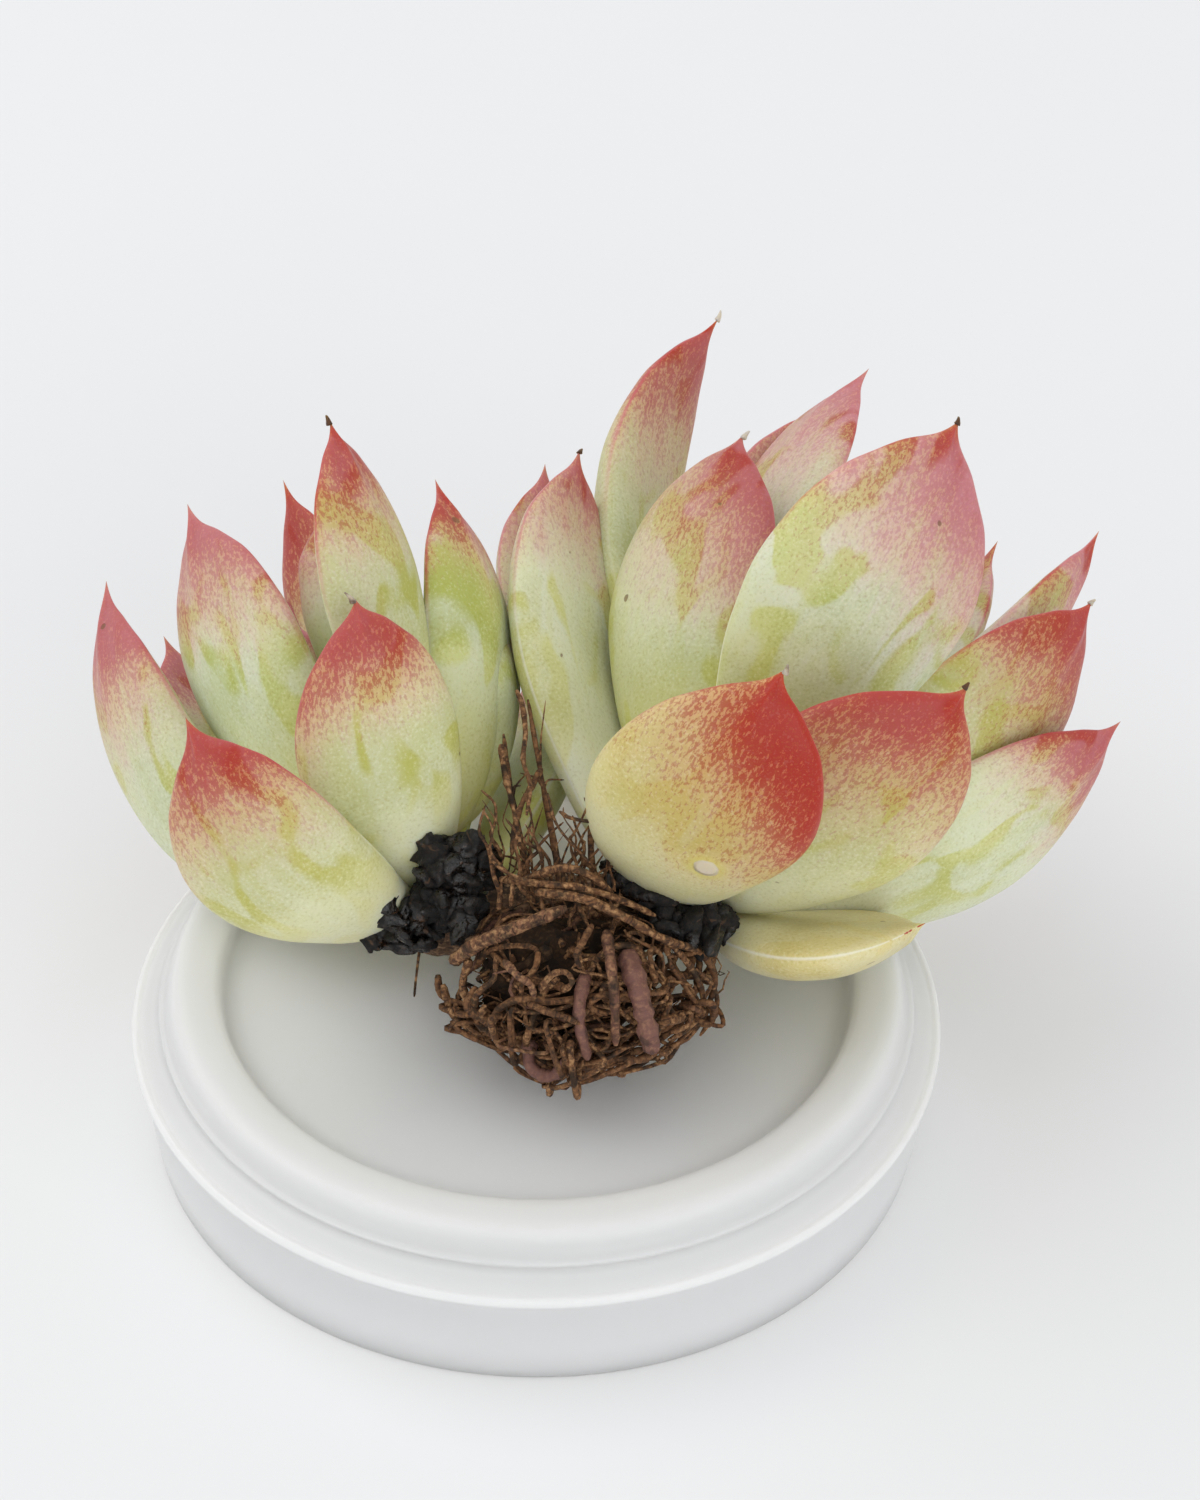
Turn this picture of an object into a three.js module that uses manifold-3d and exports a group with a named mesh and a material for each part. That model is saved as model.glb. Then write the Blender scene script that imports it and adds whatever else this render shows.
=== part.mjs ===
// A bare-rooted, two-headed rosette succulent resting in a shallow frosted plastic dish.
// Millimetres, +Z up. The dish stands on its foot ring at z = 0 and the plant leans back over its rear rim.
// While it is built, the dish's axis is the Z axis; at the end the whole is centred on its own footprint.
import * as THREE from 'three';
import { mergeVertices } from 'three/addons/utils/BufferGeometryUtils.js';
import Module from 'manifold-3d';

const wasm = await Module();
wasm.setup();

// ---------------------------------------------------------------- driving dimensions

const GAP = 0.3;               // clearance between pieces that touch

const DISH_RADIUS = 41.4;      // dish: out to its widest ring, the bead below the shoulder
const SKIRT_TAPER = 1.8;       // dish: how far the skirt draws in between bead and foot
const SHOULDER_STEP = 3.4;     // dish: from the bead in to the groove under the rim
const NECK_STEP = 1;           // dish: from the groove in to the rim's outer edge
const RIM_WIDTH = 4.7;         // dish: flat rim, from its outer edge in to the mouth
const SKIRT_HEIGHT = 12.4;     // dish: foot up to the bead
const SHOULDER_RISE = 2;       // dish: bead up to the groove
const NECK_HEIGHT = 3.4;       // dish: groove up to the rim
const RECESS_DEPTH = 2.2;      // dish: rim down to the floor that carries the roots
const BEAD_SIZE = 0.5;
const DISH_WALL = 1.4;
const DISH_SEGMENTS = 48;

const NECK_RADIUS = DISH_RADIUS - SHOULDER_STEP;
const MOUTH_RADIUS = NECK_RADIUS - NECK_STEP - RIM_WIDTH;
const RIM_HEIGHT = SKIRT_HEIGHT + SHOULDER_RISE + NECK_HEIGHT;
const FLOOR_HEIGHT = RIM_HEIGHT - RECESS_DEPTH;

// The plant's places are measured from the middle of the dish floor, where its roots rest.

const BALL_SIZE = [14.5, 10, 10.2];    // root ball half sizes across, deep and high
const BALL_CENTRE = [4.5, -11.8];        // root ball place over the dish floor
const BALL_LUMP = 0.07;                // how far its surface swells and sinks, as a share of its size

const FORK = [2, -1, 10.4];             // where the stem divides into its two heads
const FORK_RADIUS = 4.6;
const STEM_RADIUS = 4;                 // stem radius under the lowest leaf of a head
const STEM_TIP_RADIUS = 1.8;           // stem radius at the growing point
const STEM_LENGTH = 20;                // stem height inside each rosette

const LEAF_THICKNESS = 6.2;            // thickest leaf section
const LEAF_CURL = 34;                  // degrees that most leaves bend in between base and tip
const LEAF_SCALE = 1;                  // leaf length and width as a factor on the tables below
const OUTER_SHARE = 0.62;              // share of the thickness on the rounded outer face
const LEAF_SECTIONS = 10;
const LEAF_RINGS = 10;

// Each head has its base, its axis, and leaves given as [degrees round the axis from the front,
// degrees of lean off the axis, height on the stem, length, width, degrees of roll about its own length],
// and for a leaf of its own bend the degrees that it bends in and how far its tip sways to the side.
const HEADS = {
  right: {
    base: [14, 0.6, 10.6],
    axis: [0.46, 0.72, 0.52],
    leaves: [
      [64, 70, 0, 22, 20, -34],
      [89, 36, 1, 46.5, 19.5, 33],
      [26, 51, 1.5, 37.5, 20.5, 6],
      [-9, 69, 1.5, 40, 22, -7, 74, 3],
      [-93, 38, 1.5, 46.5, 18.5, 40, 34, -2],
      [-150, 30, 3, 34, 17, 0],
      [178, 24, 3, 38, 18, 0],
      [125, 34, 3, 42, 18, 0],
      [78, 25, 5, 47, 22, 27],
      [-172, 20, 9, 40, 17, 0],
      [144, 20, 8, 50.5, 16.5, 27],
      [-107, 47, 7, 44.5, 16.5, 39],
      [-73, 22, 8, 40.5, 19.5, -32, 34, 1.5],
      [104, 21, 10, 51, 17, 32],
      [4, 36, 11, 46.5, 24, -24],
      [-138, 17, 12, 49.5, 17, -6],
      [-118, 30, 16, 56.8, 15.9, 6, 78, 0.8],
      [-100, 8, 15, 46, 18.5, -38],
    ],
    heart: { count: 5, first: 60, lean: 15, length: 28, width: 12 },
  },
  left: {
    base: [-10.5, -0.4, 9.6],
    axis: [-0.33, 0.76, 0.56],
    leaves: [
      [-34, 59, 1, 36, 17, -13, 74, 2.5],
      [-1, 44, 2, 33.5, 16.5, -11, 34, 3],
      [125, 38, 1, 34, 16, 0],
      [172, 24, 3, 38, 18, 0],
      [-100, 23, 3, 49, 17.5, -39, 77, 1],
      [-130, 28, 5, 41, 17, 0],
      [-53, 13, 7, 40.5, 20.5, 3],
      [67, 20, 7, 36, 14.5, 5],
      [-165, 27, 7, 44, 17, 0],
      [95, 28, 8, 26, 14, 0],
      [179, 22, 11, 48.5, 13, 42, 42, 1],
      [16, 29, 12, 39, 14, -35],
    ],
    heart: { count: 5, first: -120, lean: 15, length: 28, width: 12 },
  },
};
const GOLDEN_ANGLE = 137.5;

// Crumbs of dried peat caught between the lowest leaves and the roots: [centre, half sizes].
const PEAT = [
  [[-9, -5, 15.9], [5, 3.4, 5]],
  [[17.5, -5.5, 13.9], [3.2, 3.2, 3.6]],
];

// Single roots that stand clear of the ball, as points that each one passes through.
const ROOT_RADIUS = 0.55;
const LOOSE_ROOTS = [
  [[-0.5, -7.5, 17.4], [-1.5, -2.5, 19.9], [-2.8, 2.5, 23.9], [-3.6, 7, 27.4]],
  [[2.5, -7, 17.9], [1.5, -1.5, 20.4], [0, 4.5, 25.4], [-1.2, 9.4, 29.9]],
  [[6, -7.5, 17.4], [5.2, -3.5, 20.4], [5.5, -0.5, 23.4], [8, 0.5, 23.9]],
];

// ---------------------------------------------------------------- shared helpers

const radians = THREE.MathUtils.degToRad;
const vector = (point) => new THREE.Vector3(...point);

const plastic = new THREE.MeshStandardMaterial({ color: 0xe4e2de, roughness: 0.45, metalness: 0 });
const leafSkin = new THREE.MeshStandardMaterial({ color: 0xc9d29a, roughness: 0.55, metalness: 0 });
const bark = new THREE.MeshStandardMaterial({ color: 0x7a5a44, roughness: 0.85, metalness: 0 });
const peatCrumb = new THREE.MeshStandardMaterial({ color: 0x241a14, roughness: 0.9, metalness: 0 });

const part = new THREE.Group();
const plant = new THREE.Group();
plant.position.z = FLOOR_HEIGHT;
part.add(plant);

function addPiece(group, name, solid, material) {
  const piece = new THREE.Mesh(toGeometry(solid), material.clone());
  piece.name = name;
  group.add(piece);
}

function toSolid(geometry) {
  const bare = geometry.clone();
  bare.deleteAttribute('normal');
  bare.deleteAttribute('uv');
  const merged = mergeVertices(bare, 1e-4);
  const mesh = new wasm.Mesh({
    numProp: 3,
    vertProperties: new Float32Array(merged.attributes.position.array),
    triVerts: new Uint32Array(merged.index.array),
  });
  mesh.merge();
  return new wasm.Manifold(mesh);
}

function toGeometry(solid) {
  const mesh = solid.getMesh();
  const geometry = new THREE.BufferGeometry();
  geometry.setAttribute('position', new THREE.BufferAttribute(new Float32Array(mesh.vertProperties), 3));
  geometry.setIndex(new THREE.BufferAttribute(new Uint32Array(mesh.triVerts), 1));
  geometry.computeVertexNormals();
  return geometry;
}

// Moves every vertex of a geometry to where place(vertex) says.
function reshape(geometry, place) {
  const position = geometry.attributes.position;
  const vertex = new THREE.Vector3();
  for (let i = 0; i < position.count; i += 1) {
    vertex.fromBufferAttribute(position, i);
    place(vertex);
    position.setXYZ(i, vertex.x, vertex.y, vertex.z);
  }
  return geometry;
}

// The largest body of a solid: what is left of a piece after its neighbours have pressed into it.
function mainBody(solid) {
  const bodies = solid.decompose();
  return bodies.reduce((best, body) => (body.volume() > best.volume() ? body : best));
}

function pressedBy(solid, neighbours) {
  let left = solid;
  for (const neighbour of neighbours) {
    const shared = left.intersect(neighbour);
    if (!shared.isEmpty()) left = left.subtract(neighbour);
  }
  return mainBody(left);
}

// ---------------------------------------------------------------- dish

// Radius and height of the dish's wall: up inside the skirt, over the foot, up outside, and in to the floor.
function dishProfile() {
  const wall = DISH_WALL;
  const footRadius = DISH_RADIUS - SKIRT_TAPER;
  const rimRadius = NECK_RADIUS - NECK_STEP;
  const neckBottom = SKIRT_HEIGHT + SHOULDER_RISE;
  return [
    [0, FLOOR_HEIGHT - wall],
    [MOUTH_RADIUS - wall, FLOOR_HEIGHT - wall],
    [rimRadius - wall, RIM_HEIGHT - 1.4 * wall],
    [NECK_RADIUS - wall, neckBottom - wall],
    [DISH_RADIUS - 1.3 * wall, SKIRT_HEIGHT - wall],
    [footRadius - wall, 0],
    [footRadius, 0],
    [DISH_RADIUS - BEAD_SIZE, SKIRT_HEIGHT - 2 * BEAD_SIZE],
    [DISH_RADIUS, SKIRT_HEIGHT - BEAD_SIZE],
    [DISH_RADIUS - BEAD_SIZE, SKIRT_HEIGHT + BEAD_SIZE],
    [NECK_RADIUS + 0.4, neckBottom],
    [NECK_RADIUS, neckBottom + 0.5],
    [rimRadius, RIM_HEIGHT - 0.8],
    [rimRadius - 0.8, RIM_HEIGHT - 0.1],
    [MOUTH_RADIUS + 0.9, RIM_HEIGHT],
    [MOUTH_RADIUS, RIM_HEIGHT - 0.6],
    [MOUTH_RADIUS - 0.3, FLOOR_HEIGHT + 0.6],
    [MOUTH_RADIUS - 1.1, FLOOR_HEIGHT],
    [0, FLOOR_HEIGHT],
  ].map(([radius, height]) => new THREE.Vector2(radius, height));
}

function dishSolid() {
  const lathe = new THREE.LatheGeometry(dishProfile(), DISH_SEGMENTS);
  return toSolid(lathe.rotateX(Math.PI / 2));
}

// The dish with a gap's width added over it and on both sides of its rim.
function dishRoom(dish) {
  const raised = dish.translate([0, 0, GAP]);
  const wider = 1 + GAP / NECK_RADIUS;
  const narrower = 1 - GAP / MOUTH_RADIUS;
  return dish.add(raised).add(raised.scale([wider, wider, 1])).add(raised.scale([narrower, narrower, 1]));
}

// ---------------------------------------------------------------- stem

// A tapered round stem with a domed end, standing on `base` along `axis`.
function stemArm(base, axis, radius, tipRadius, length) {
  const profile = [
    [0, -radius],
    [0.7 * radius, -0.7 * radius],
    [radius, 0],
    [0.5 * (radius + tipRadius), 0.6 * length],
    [tipRadius, length - tipRadius],
    [0.6 * tipRadius, length - 0.3 * tipRadius],
    [0, length],
  ].map(([x, y]) => new THREE.Vector2(x, y));
  const lathe = new THREE.LatheGeometry(profile, 14);
  const turn = new THREE.Quaternion().setFromUnitVectors(new THREE.Vector3(0, 1, 0), axis);
  return toSolid(lathe.applyQuaternion(turn).translate(base.x, base.y, base.z));
}

// The stem, with `extra` added all round: the plain stem for 0, the room that it needs for a gap.
function stemSolid(extra) {
  const fork = vector(FORK);
  let stem = toSolid(new THREE.SphereGeometry(FORK_RADIUS + extra, 14, 10).translate(...FORK));
  for (const head of Object.values(HEADS)) {
    const base = vector(head.base);
    const axis = vector(head.axis).normalize();
    const reach = base.clone().sub(fork);
    const branch = stemArm(fork, reach.clone().normalize(), FORK_RADIUS - 0.6 + extra, STEM_RADIUS + extra,
      reach.length() + STEM_RADIUS + extra);
    const arm = stemArm(base, axis, STEM_RADIUS + extra, STEM_TIP_RADIUS + extra, STEM_LENGTH + extra);
    stem = stem.add(branch).add(arm);
  }
  return stem;
}

// ---------------------------------------------------------------- leaves

// Axis, front and side directions of a head: the front faces forwards and up.
function headFrame(head) {
  const axis = vector(head.axis).normalize();
  const front = new THREE.Vector3(0, -1, 1).addScaledVector(axis, -new THREE.Vector3(0, -1, 1).dot(axis));
  front.normalize();
  const side = new THREE.Vector3().crossVectors(axis, front).normalize();
  return { base: vector(head.base), axis, front, side };
}

function stemRadiusAt(height) {
  const share = THREE.MathUtils.clamp(height / STEM_LENGTH, 0, 1);
  return THREE.MathUtils.lerp(STEM_RADIUS, STEM_TIP_RADIUS, share);
}

// Half width and half thickness along a leaf, as shares of the largest: narrow base, broad shoulder, pointed tip.
const widthShare = (t) => Math.sin(Math.PI * t ** 1.3) ** 0.7;
const thicknessShare = (t) => Math.sin(Math.PI * t ** 0.9) ** 0.55;

// The leaf's middle line is an arc that starts at the stem and bends in towards the head's axis.
function leafArc(frame, [azimuth, lean, height, length, , roll, bend = LEAF_CURL, sway = 0]) {
  const turn = radians(azimuth);
  const outward = frame.front.clone().multiplyScalar(Math.cos(turn)).addScaledVector(frame.side, Math.sin(turn));
  const root = frame.base.clone().addScaledVector(frame.axis, height);
  root.addScaledVector(outward, stemRadiusAt(height) + GAP);
  const curl = radians(bend);
  const radius = (LEAF_SCALE * length) / curl;
  const start = radians(lean) + curl / 2;
  const level = new THREE.Vector3().crossVectors(frame.axis, outward);
  return (t) => {
    const angle = start - curl * t;
    const along = radius * (Math.sin(start) - Math.sin(angle));
    const out = radius * (Math.cos(angle) - Math.cos(start));
    const centre = root.clone().addScaledVector(frame.axis, along).addScaledVector(outward, out);
    const inner = frame.axis.clone().multiplyScalar(Math.sin(angle)).addScaledVector(outward, -Math.cos(angle));
    const tangent = new THREE.Vector3().crossVectors(inner, level);
    const across = level.clone().applyAxisAngle(tangent, radians(roll));
    centre.addScaledVector(across, sway * t * t);
    return { centre, inner: inner.applyAxisAngle(tangent, radians(roll)), across };
  };
}

// A leaf, with `extra` added all round.
function leafSolid(frame, leaf, extra) {
  const arc = leafArc(frame, leaf);
  const halfWidth = (LEAF_SCALE * leaf[4]) / 2;
  const sphere = new THREE.SphereGeometry(1, LEAF_SECTIONS, LEAF_RINGS);
  const lengthen = extra / (LEAF_SCALE * leaf[3]);
  return toSolid(reshape(sphere, (vertex) => {
    const t = THREE.MathUtils.clamp((1 - vertex.y) / 2, 0, 1);
    const ring = Math.hypot(vertex.x, vertex.z);
    const cos = ring > 1e-6 ? vertex.x / ring : 0;
    const sin = ring > 1e-6 ? vertex.z / ring : 0;
    const { centre, inner, across } = arc(t + (2 * t - 1) * lengthen);
    const edge = ring > 1e-6 ? extra : 0;
    const face = sin < 0 ? OUTER_SHARE : 1 - OUTER_SHARE;
    const wide = (halfWidth * widthShare(t) + edge) * cos;
    const thick = (LEAF_THICKNESS * face * thicknessShare(t) + edge) * sin;
    vertex.copy(centre).addScaledVector(across, wide).addScaledVector(inner, thick);
  }));
}

// The young leaves round the growing point, a golden angle apart and shorter towards the middle.
function heartLeaves({ count, first, lean, length, width }) {
  const leaves = [];
  for (let i = 0; i < count; i += 1) {
    const share = 1 - i / (count + 1);
    const height = STEM_LENGTH - 1.5 + (1.5 * i) / count;
    const broad = width * (0.4 + 0.6 * share);
    leaves.push([first + i * GOLDEN_ANGLE, lean * share, height, length * share, broad, 0]);
  }
  return leaves;
}

function addLeaves(rooms) {
  for (const [side, head] of Object.entries(HEADS)) {
    const frame = headFrame(head);
    const leaves = [...head.leaves, ...heartLeaves(head.heart)];
    leaves.forEach((leaf, index) => {
      const solid = pressedBy(leafSolid(frame, leaf, 0), rooms);
      addPiece(plant, `${side}_leaf_${String(index + 1).padStart(2, '0')}`, solid, leafSkin);
      rooms.push(leafSolid(frame, leaf, GAP));
    });
  }
}

// ---------------------------------------------------------------- roots and peat

// A lumpy ellipsoid with half sizes `size`, `extra` larger all round.
function lump(centre, size, swell, extra, detail) {
  const sphere = new THREE.SphereGeometry(1, 2 * detail, detail);
  return toSolid(reshape(sphere, (vertex) => {
    const wave = Math.sin(4 * vertex.x + 1) * Math.cos(5 * vertex.y) + Math.sin(6 * vertex.z + 2);
    const radius = 1 - swell + 0.5 * swell * wave;
    vertex.multiplyScalar(radius);
    vertex.set(
      centre[0] + vertex.x * (size[0] + extra),
      centre[1] + vertex.y * (size[1] + extra),
      centre[2] + vertex.z * (size[2] + extra),
    );
  }));
}

// The root ball, set down so that its lowest point lies a gap above the dish floor.
function ballSolid() {
  const ball = lump([...BALL_CENTRE, 0], BALL_SIZE, BALL_LUMP, 0, 14);
  return ball.translate([0, 0, GAP - ball.boundingBox().min[2]]);
}

// The room that the root ball needs for a gap all round.
function ballRoom(ball) {
  const box = ball.boundingBox();
  const middle = box.min.map((low, axis) => (low + box.max[axis]) / 2);
  const grow = BALL_SIZE.map((size) => 1 + GAP / (size * (1 - BALL_LUMP)));
  return ball.translate(middle.map((value) => -value)).scale(grow).translate(middle);
}

function rootTube(points, extra) {
  const curve = new THREE.CatmullRomCurve3(points.map(vector));
  const section = new THREE.Shape();
  section.absarc(0, 0, ROOT_RADIUS + extra, 0, 2 * Math.PI);
  return toSolid(new THREE.ExtrudeGeometry(section, { extrudePath: curve, steps: 10, curveSegments: 3 }));
}

function addRoots(rooms) {
  const ball = ballSolid();
  addPiece(plant, 'root_ball', pressedBy(ball, rooms), bark);
  rooms.push(ballRoom(ball));
  LOOSE_ROOTS.forEach((points, index) => {
    addPiece(plant, `loose_root_${index + 1}`, pressedBy(rootTube(points, 0), rooms), bark);
    rooms.push(rootTube(points, GAP));
  });
  PEAT.forEach(([centre, size], index) => {
    addPiece(plant, `peat_crumb_${index + 1}`, pressedBy(lump(centre, size, 0.2, 0, 7), rooms), peatCrumb);
    rooms.push(lump(centre, size, 0.2, GAP, 7));
  });
}

// ---------------------------------------------------------------- assembly

const dish = dishSolid();
addPiece(part, 'dish', dish, plastic);
addPiece(plant, 'stem', stemSolid(0), bark);
const rooms = [stemSolid(GAP), dishRoom(dish).translate([0, 0, -FLOOR_HEIGHT])];
addLeaves(rooms);
addRoots(rooms);

// The origin is the middle of the bounding box's footprint, on the surface that the dish stands on.
const footprint = new THREE.Box3().setFromObject(part, true).getCenter(new THREE.Vector3());
part.position.set(-footprint.x, -footprint.y, 0);

export default part;
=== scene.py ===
"""A bare-rooted, two-headed rosette succulent resting in a shallow frosted plastic dish.

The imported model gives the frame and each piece's place and size, which this file's own values match.
Lengths here are millimetres until MM turns them to metres.
"""
import math
import random

import bmesh
import bpy
from mathutils import Matrix, Quaternion, Vector, noise


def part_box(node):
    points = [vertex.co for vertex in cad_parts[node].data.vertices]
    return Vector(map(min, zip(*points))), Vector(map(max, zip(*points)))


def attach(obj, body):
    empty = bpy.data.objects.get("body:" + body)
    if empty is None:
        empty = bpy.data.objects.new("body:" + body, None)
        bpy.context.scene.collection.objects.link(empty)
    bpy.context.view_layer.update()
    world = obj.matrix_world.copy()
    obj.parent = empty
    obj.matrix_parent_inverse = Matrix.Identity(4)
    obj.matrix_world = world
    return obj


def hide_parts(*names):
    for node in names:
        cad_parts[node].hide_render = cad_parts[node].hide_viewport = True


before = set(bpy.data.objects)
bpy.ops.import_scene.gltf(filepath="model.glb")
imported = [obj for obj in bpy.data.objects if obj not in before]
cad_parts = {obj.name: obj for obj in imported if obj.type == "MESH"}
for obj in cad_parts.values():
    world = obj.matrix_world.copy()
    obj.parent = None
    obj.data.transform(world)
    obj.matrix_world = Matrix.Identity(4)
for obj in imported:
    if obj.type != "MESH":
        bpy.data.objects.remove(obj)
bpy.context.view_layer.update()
MM = 0.001

# ---------------------------------------------------------------- the object's own sizes

DISH_RADIUS = 41.4
NECK_RADIUS = 38.0
MOUTH_RADIUS = 32.3
SKIRT_HEIGHT = 12.4
RIM_HEIGHT = 17.8
FLOOR_HEIGHT = 15.6
DISH_WALL = 1.4
DISH_STEPS = 192

STEM_RADIUS = 4.0
STEM_TIP_RADIUS = 1.8
STEM_LENGTH = 20.0
GAP = 0.3

LEAF_THICKNESS = 6.2
LEAF_CURL = math.radians(34)
OUTER_SHARE = 0.62
LEAF_SECTIONS = 40
LEAF_RINGS = 46
TAPER_START = 0.84
POINT_SHARE = 0.06
FOOT_SHARE = 0.90
RIDGE_HEIGHT = 0.5
NO_SCAR = (50, 50, 50)

ROOT_SIDES = 8
BALL_SIZE = Vector((14.5, 10.0, 10.2))
BALL_CENTRE = Vector((4.5, -11.8, 9.9))

# A leaf: degrees round the head from its front, lean off the axis, height on the stem, length, width, roll,
# and for a leaf of its own bend the degrees that it bends in and how far its tip sways to the side.
HEADS = {
    "right": {
        "base": (14, 0.6, 10.6),
        "axis": (0.46, 0.72, 0.52),
        "leaves": [
            (64, 70, 0, 22, 20, -34),
            (89, 36, 1, 46.5, 19.5, 33),
            (26, 51, 1.5, 37.5, 20.5, 6),
            (-9, 69, 1.5, 40, 22, -7, 74, 3),
            (-93, 38, 1.5, 46.5, 18.5, 40, 34, -2),
            (-150, 30, 3, 34, 17, 0),
            (178, 24, 3, 38, 18, 0),
            (125, 34, 3, 42, 18, 0),
            (78, 25, 5, 47, 22, 27),
            (-172, 20, 9, 40, 17, 0),
            (144, 20, 8, 50.5, 16.5, 27),
            (-107, 47, 7, 44.5, 16.5, 39),
            (-73, 22, 8, 40.5, 19.5, -32, 34, 1.5),
            (104, 21, 10, 51, 17, 32),
            (4, 36, 11, 46.5, 24, -24),
            (-138, 17, 12, 49.5, 17, -6),
            (-118, 30, 16, 56.8, 15.9, 6, 78, 0.8),
            (-100, 8, 15, 46, 18.5, -38),
        ],
        "heart": (5, 60, 15, 28, 12),
    },
    "left": {
        "base": (-10.5, -0.4, 9.6),
        "axis": (-0.33, 0.76, 0.56),
        "leaves": [
            (-34, 59, 1, 36, 17, -13, 74, 2.5),
            (-1, 44, 2, 33.5, 16.5, -11, 34, 3),
            (125, 38, 1, 34, 16, 0),
            (172, 24, 3, 38, 18, 0),
            (-100, 23, 3, 49, 17.5, -39, 77, 1),
            (-130, 28, 5, 41, 17, 0),
            (-53, 13, 7, 40.5, 20.5, 3),
            (67, 20, 7, 36, 14.5, 5),
            (-165, 27, 7, 44, 17, 0),
            (95, 28, 8, 26, 14, 0),
            (179, 22, 11, 48.5, 13, 42, 42, 1),
            (16, 29, 12, 39, 14, -35),
        ],
        "heart": (5, -120, 15, 28, 12),
    },
}
GOLDEN_ANGLE = 137.5

# How a plain leaf looks, then where a leaf differs from that. Blush is the share of its length that reddens,
# tilt leans the blush to one side, bloom is the chalky film and age its yellowing. Foot is how broad its base
# is and shift how far its tip leans to the side. Cusp is the length of its point, dry the size of the
# withered bit beyond it, and pale how bleached that bit is.
PLAIN_LOOK = {
    "blush": 0.42, "bloom": 0.80, "age": 0.1, "cusp": 1.2, "dry": 0, "pale": 0.1, "foot": 0.25, "shift": 0,
}
LOOKS = {
    "right_leaf_01": {"blush": 0.01, "bloom": 0.30, "age": 1.0, "cusp": 0.5},
    "right_leaf_02": {"blush": 0.34, "bloom": 0.75, "age": 0.25, "cusp": 1.0},
    "right_leaf_03": {"blush": 0.62, "bloom": 0.45, "age": 0.3, "cusp": 0.8, "dry": 0.7, "tilt": -0.10},
    "right_leaf_04": {
        "blush": 0.62, "tilt": 0.22, "bloom": 0.22, "age": 0.85, "shift": 2.0, "cusp": 0.6, "dry": 0.8,
        "pale": 0.5,
    },
    "right_leaf_05": {"foot": 0.5, "blush": 0.34, "bloom": 0.80, "age": 0.35, "cusp": 0.8, "dry": 0.6},
    "right_leaf_09": {"blush": 0.52, "bloom": 0.45, "age": 0.2, "cusp": 0.6, "dry": 0.8, "pale": 0.6},
    "right_leaf_11": {"blush": 0.34, "bloom": 0.95, "age": 0.0, "cusp": 1.5},
    "right_leaf_12": {"blush": 0.40, "bloom": 0.85, "age": 0.1, "cusp": 1.2},
    "right_leaf_13": {
        "blush": 0.56, "bloom": 0.78, "age": 0.2, "cusp": 0.3, "dry": 1.1, "pale": 1.0, "tilt": 0.14,
    },
    "right_leaf_14": {"blush": 0.42, "bloom": 0.95, "age": 0.0, "cusp": 1.5},
    "right_leaf_15": {"blush": 0.47, "bloom": 0.92, "age": 0.0, "cusp": 0.6, "dry": 0.7, "tilt": 0.10},
    "right_leaf_17": {"blush": 0.46, "bloom": 0.62, "age": 0.2, "cusp": 1.0, "dry": 1.1, "pale": 0.7},
    "right_leaf_18": {"blush": 0.50, "bloom": 0.95, "age": 0.0, "cusp": 1.2},
    "left_leaf_01": {"blush": 0.46, "bloom": 0.55, "age": 0.45, "cusp": 1.5, "tilt": 0.05},
    "left_leaf_02": {"blush": 0.46, "bloom": 0.55, "age": 0.35, "cusp": 0.3, "dry": 1.1, "pale": 0.5},
    "left_leaf_05": {"blush": 0.46, "bloom": 0.75, "age": 0.2, "cusp": 1.2},
    "left_leaf_07": {"blush": 0.44, "bloom": 0.80, "age": 0.05, "cusp": 1.5},
    "left_leaf_08": {"blush": 0.36, "bloom": 0.75, "age": 0.1, "cusp": 1.5},
    "left_leaf_11": {"blush": 0.44, "bloom": 0.45, "age": 0.35, "cusp": 1.5, "foot": 0.9},
    "left_leaf_12": {"blush": 0.46, "bloom": 0.62, "age": 0.25, "cusp": 0.6, "dry": 0.9, "pale": 0.3},
}

# Old scars: leaf name, share of the way to the tip, degrees round the section, where 270 is the middle of the
# outer face, and radius.
SCARS = {
    "right_leaf_04": (0.47, 290, 1.3),
}

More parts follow.
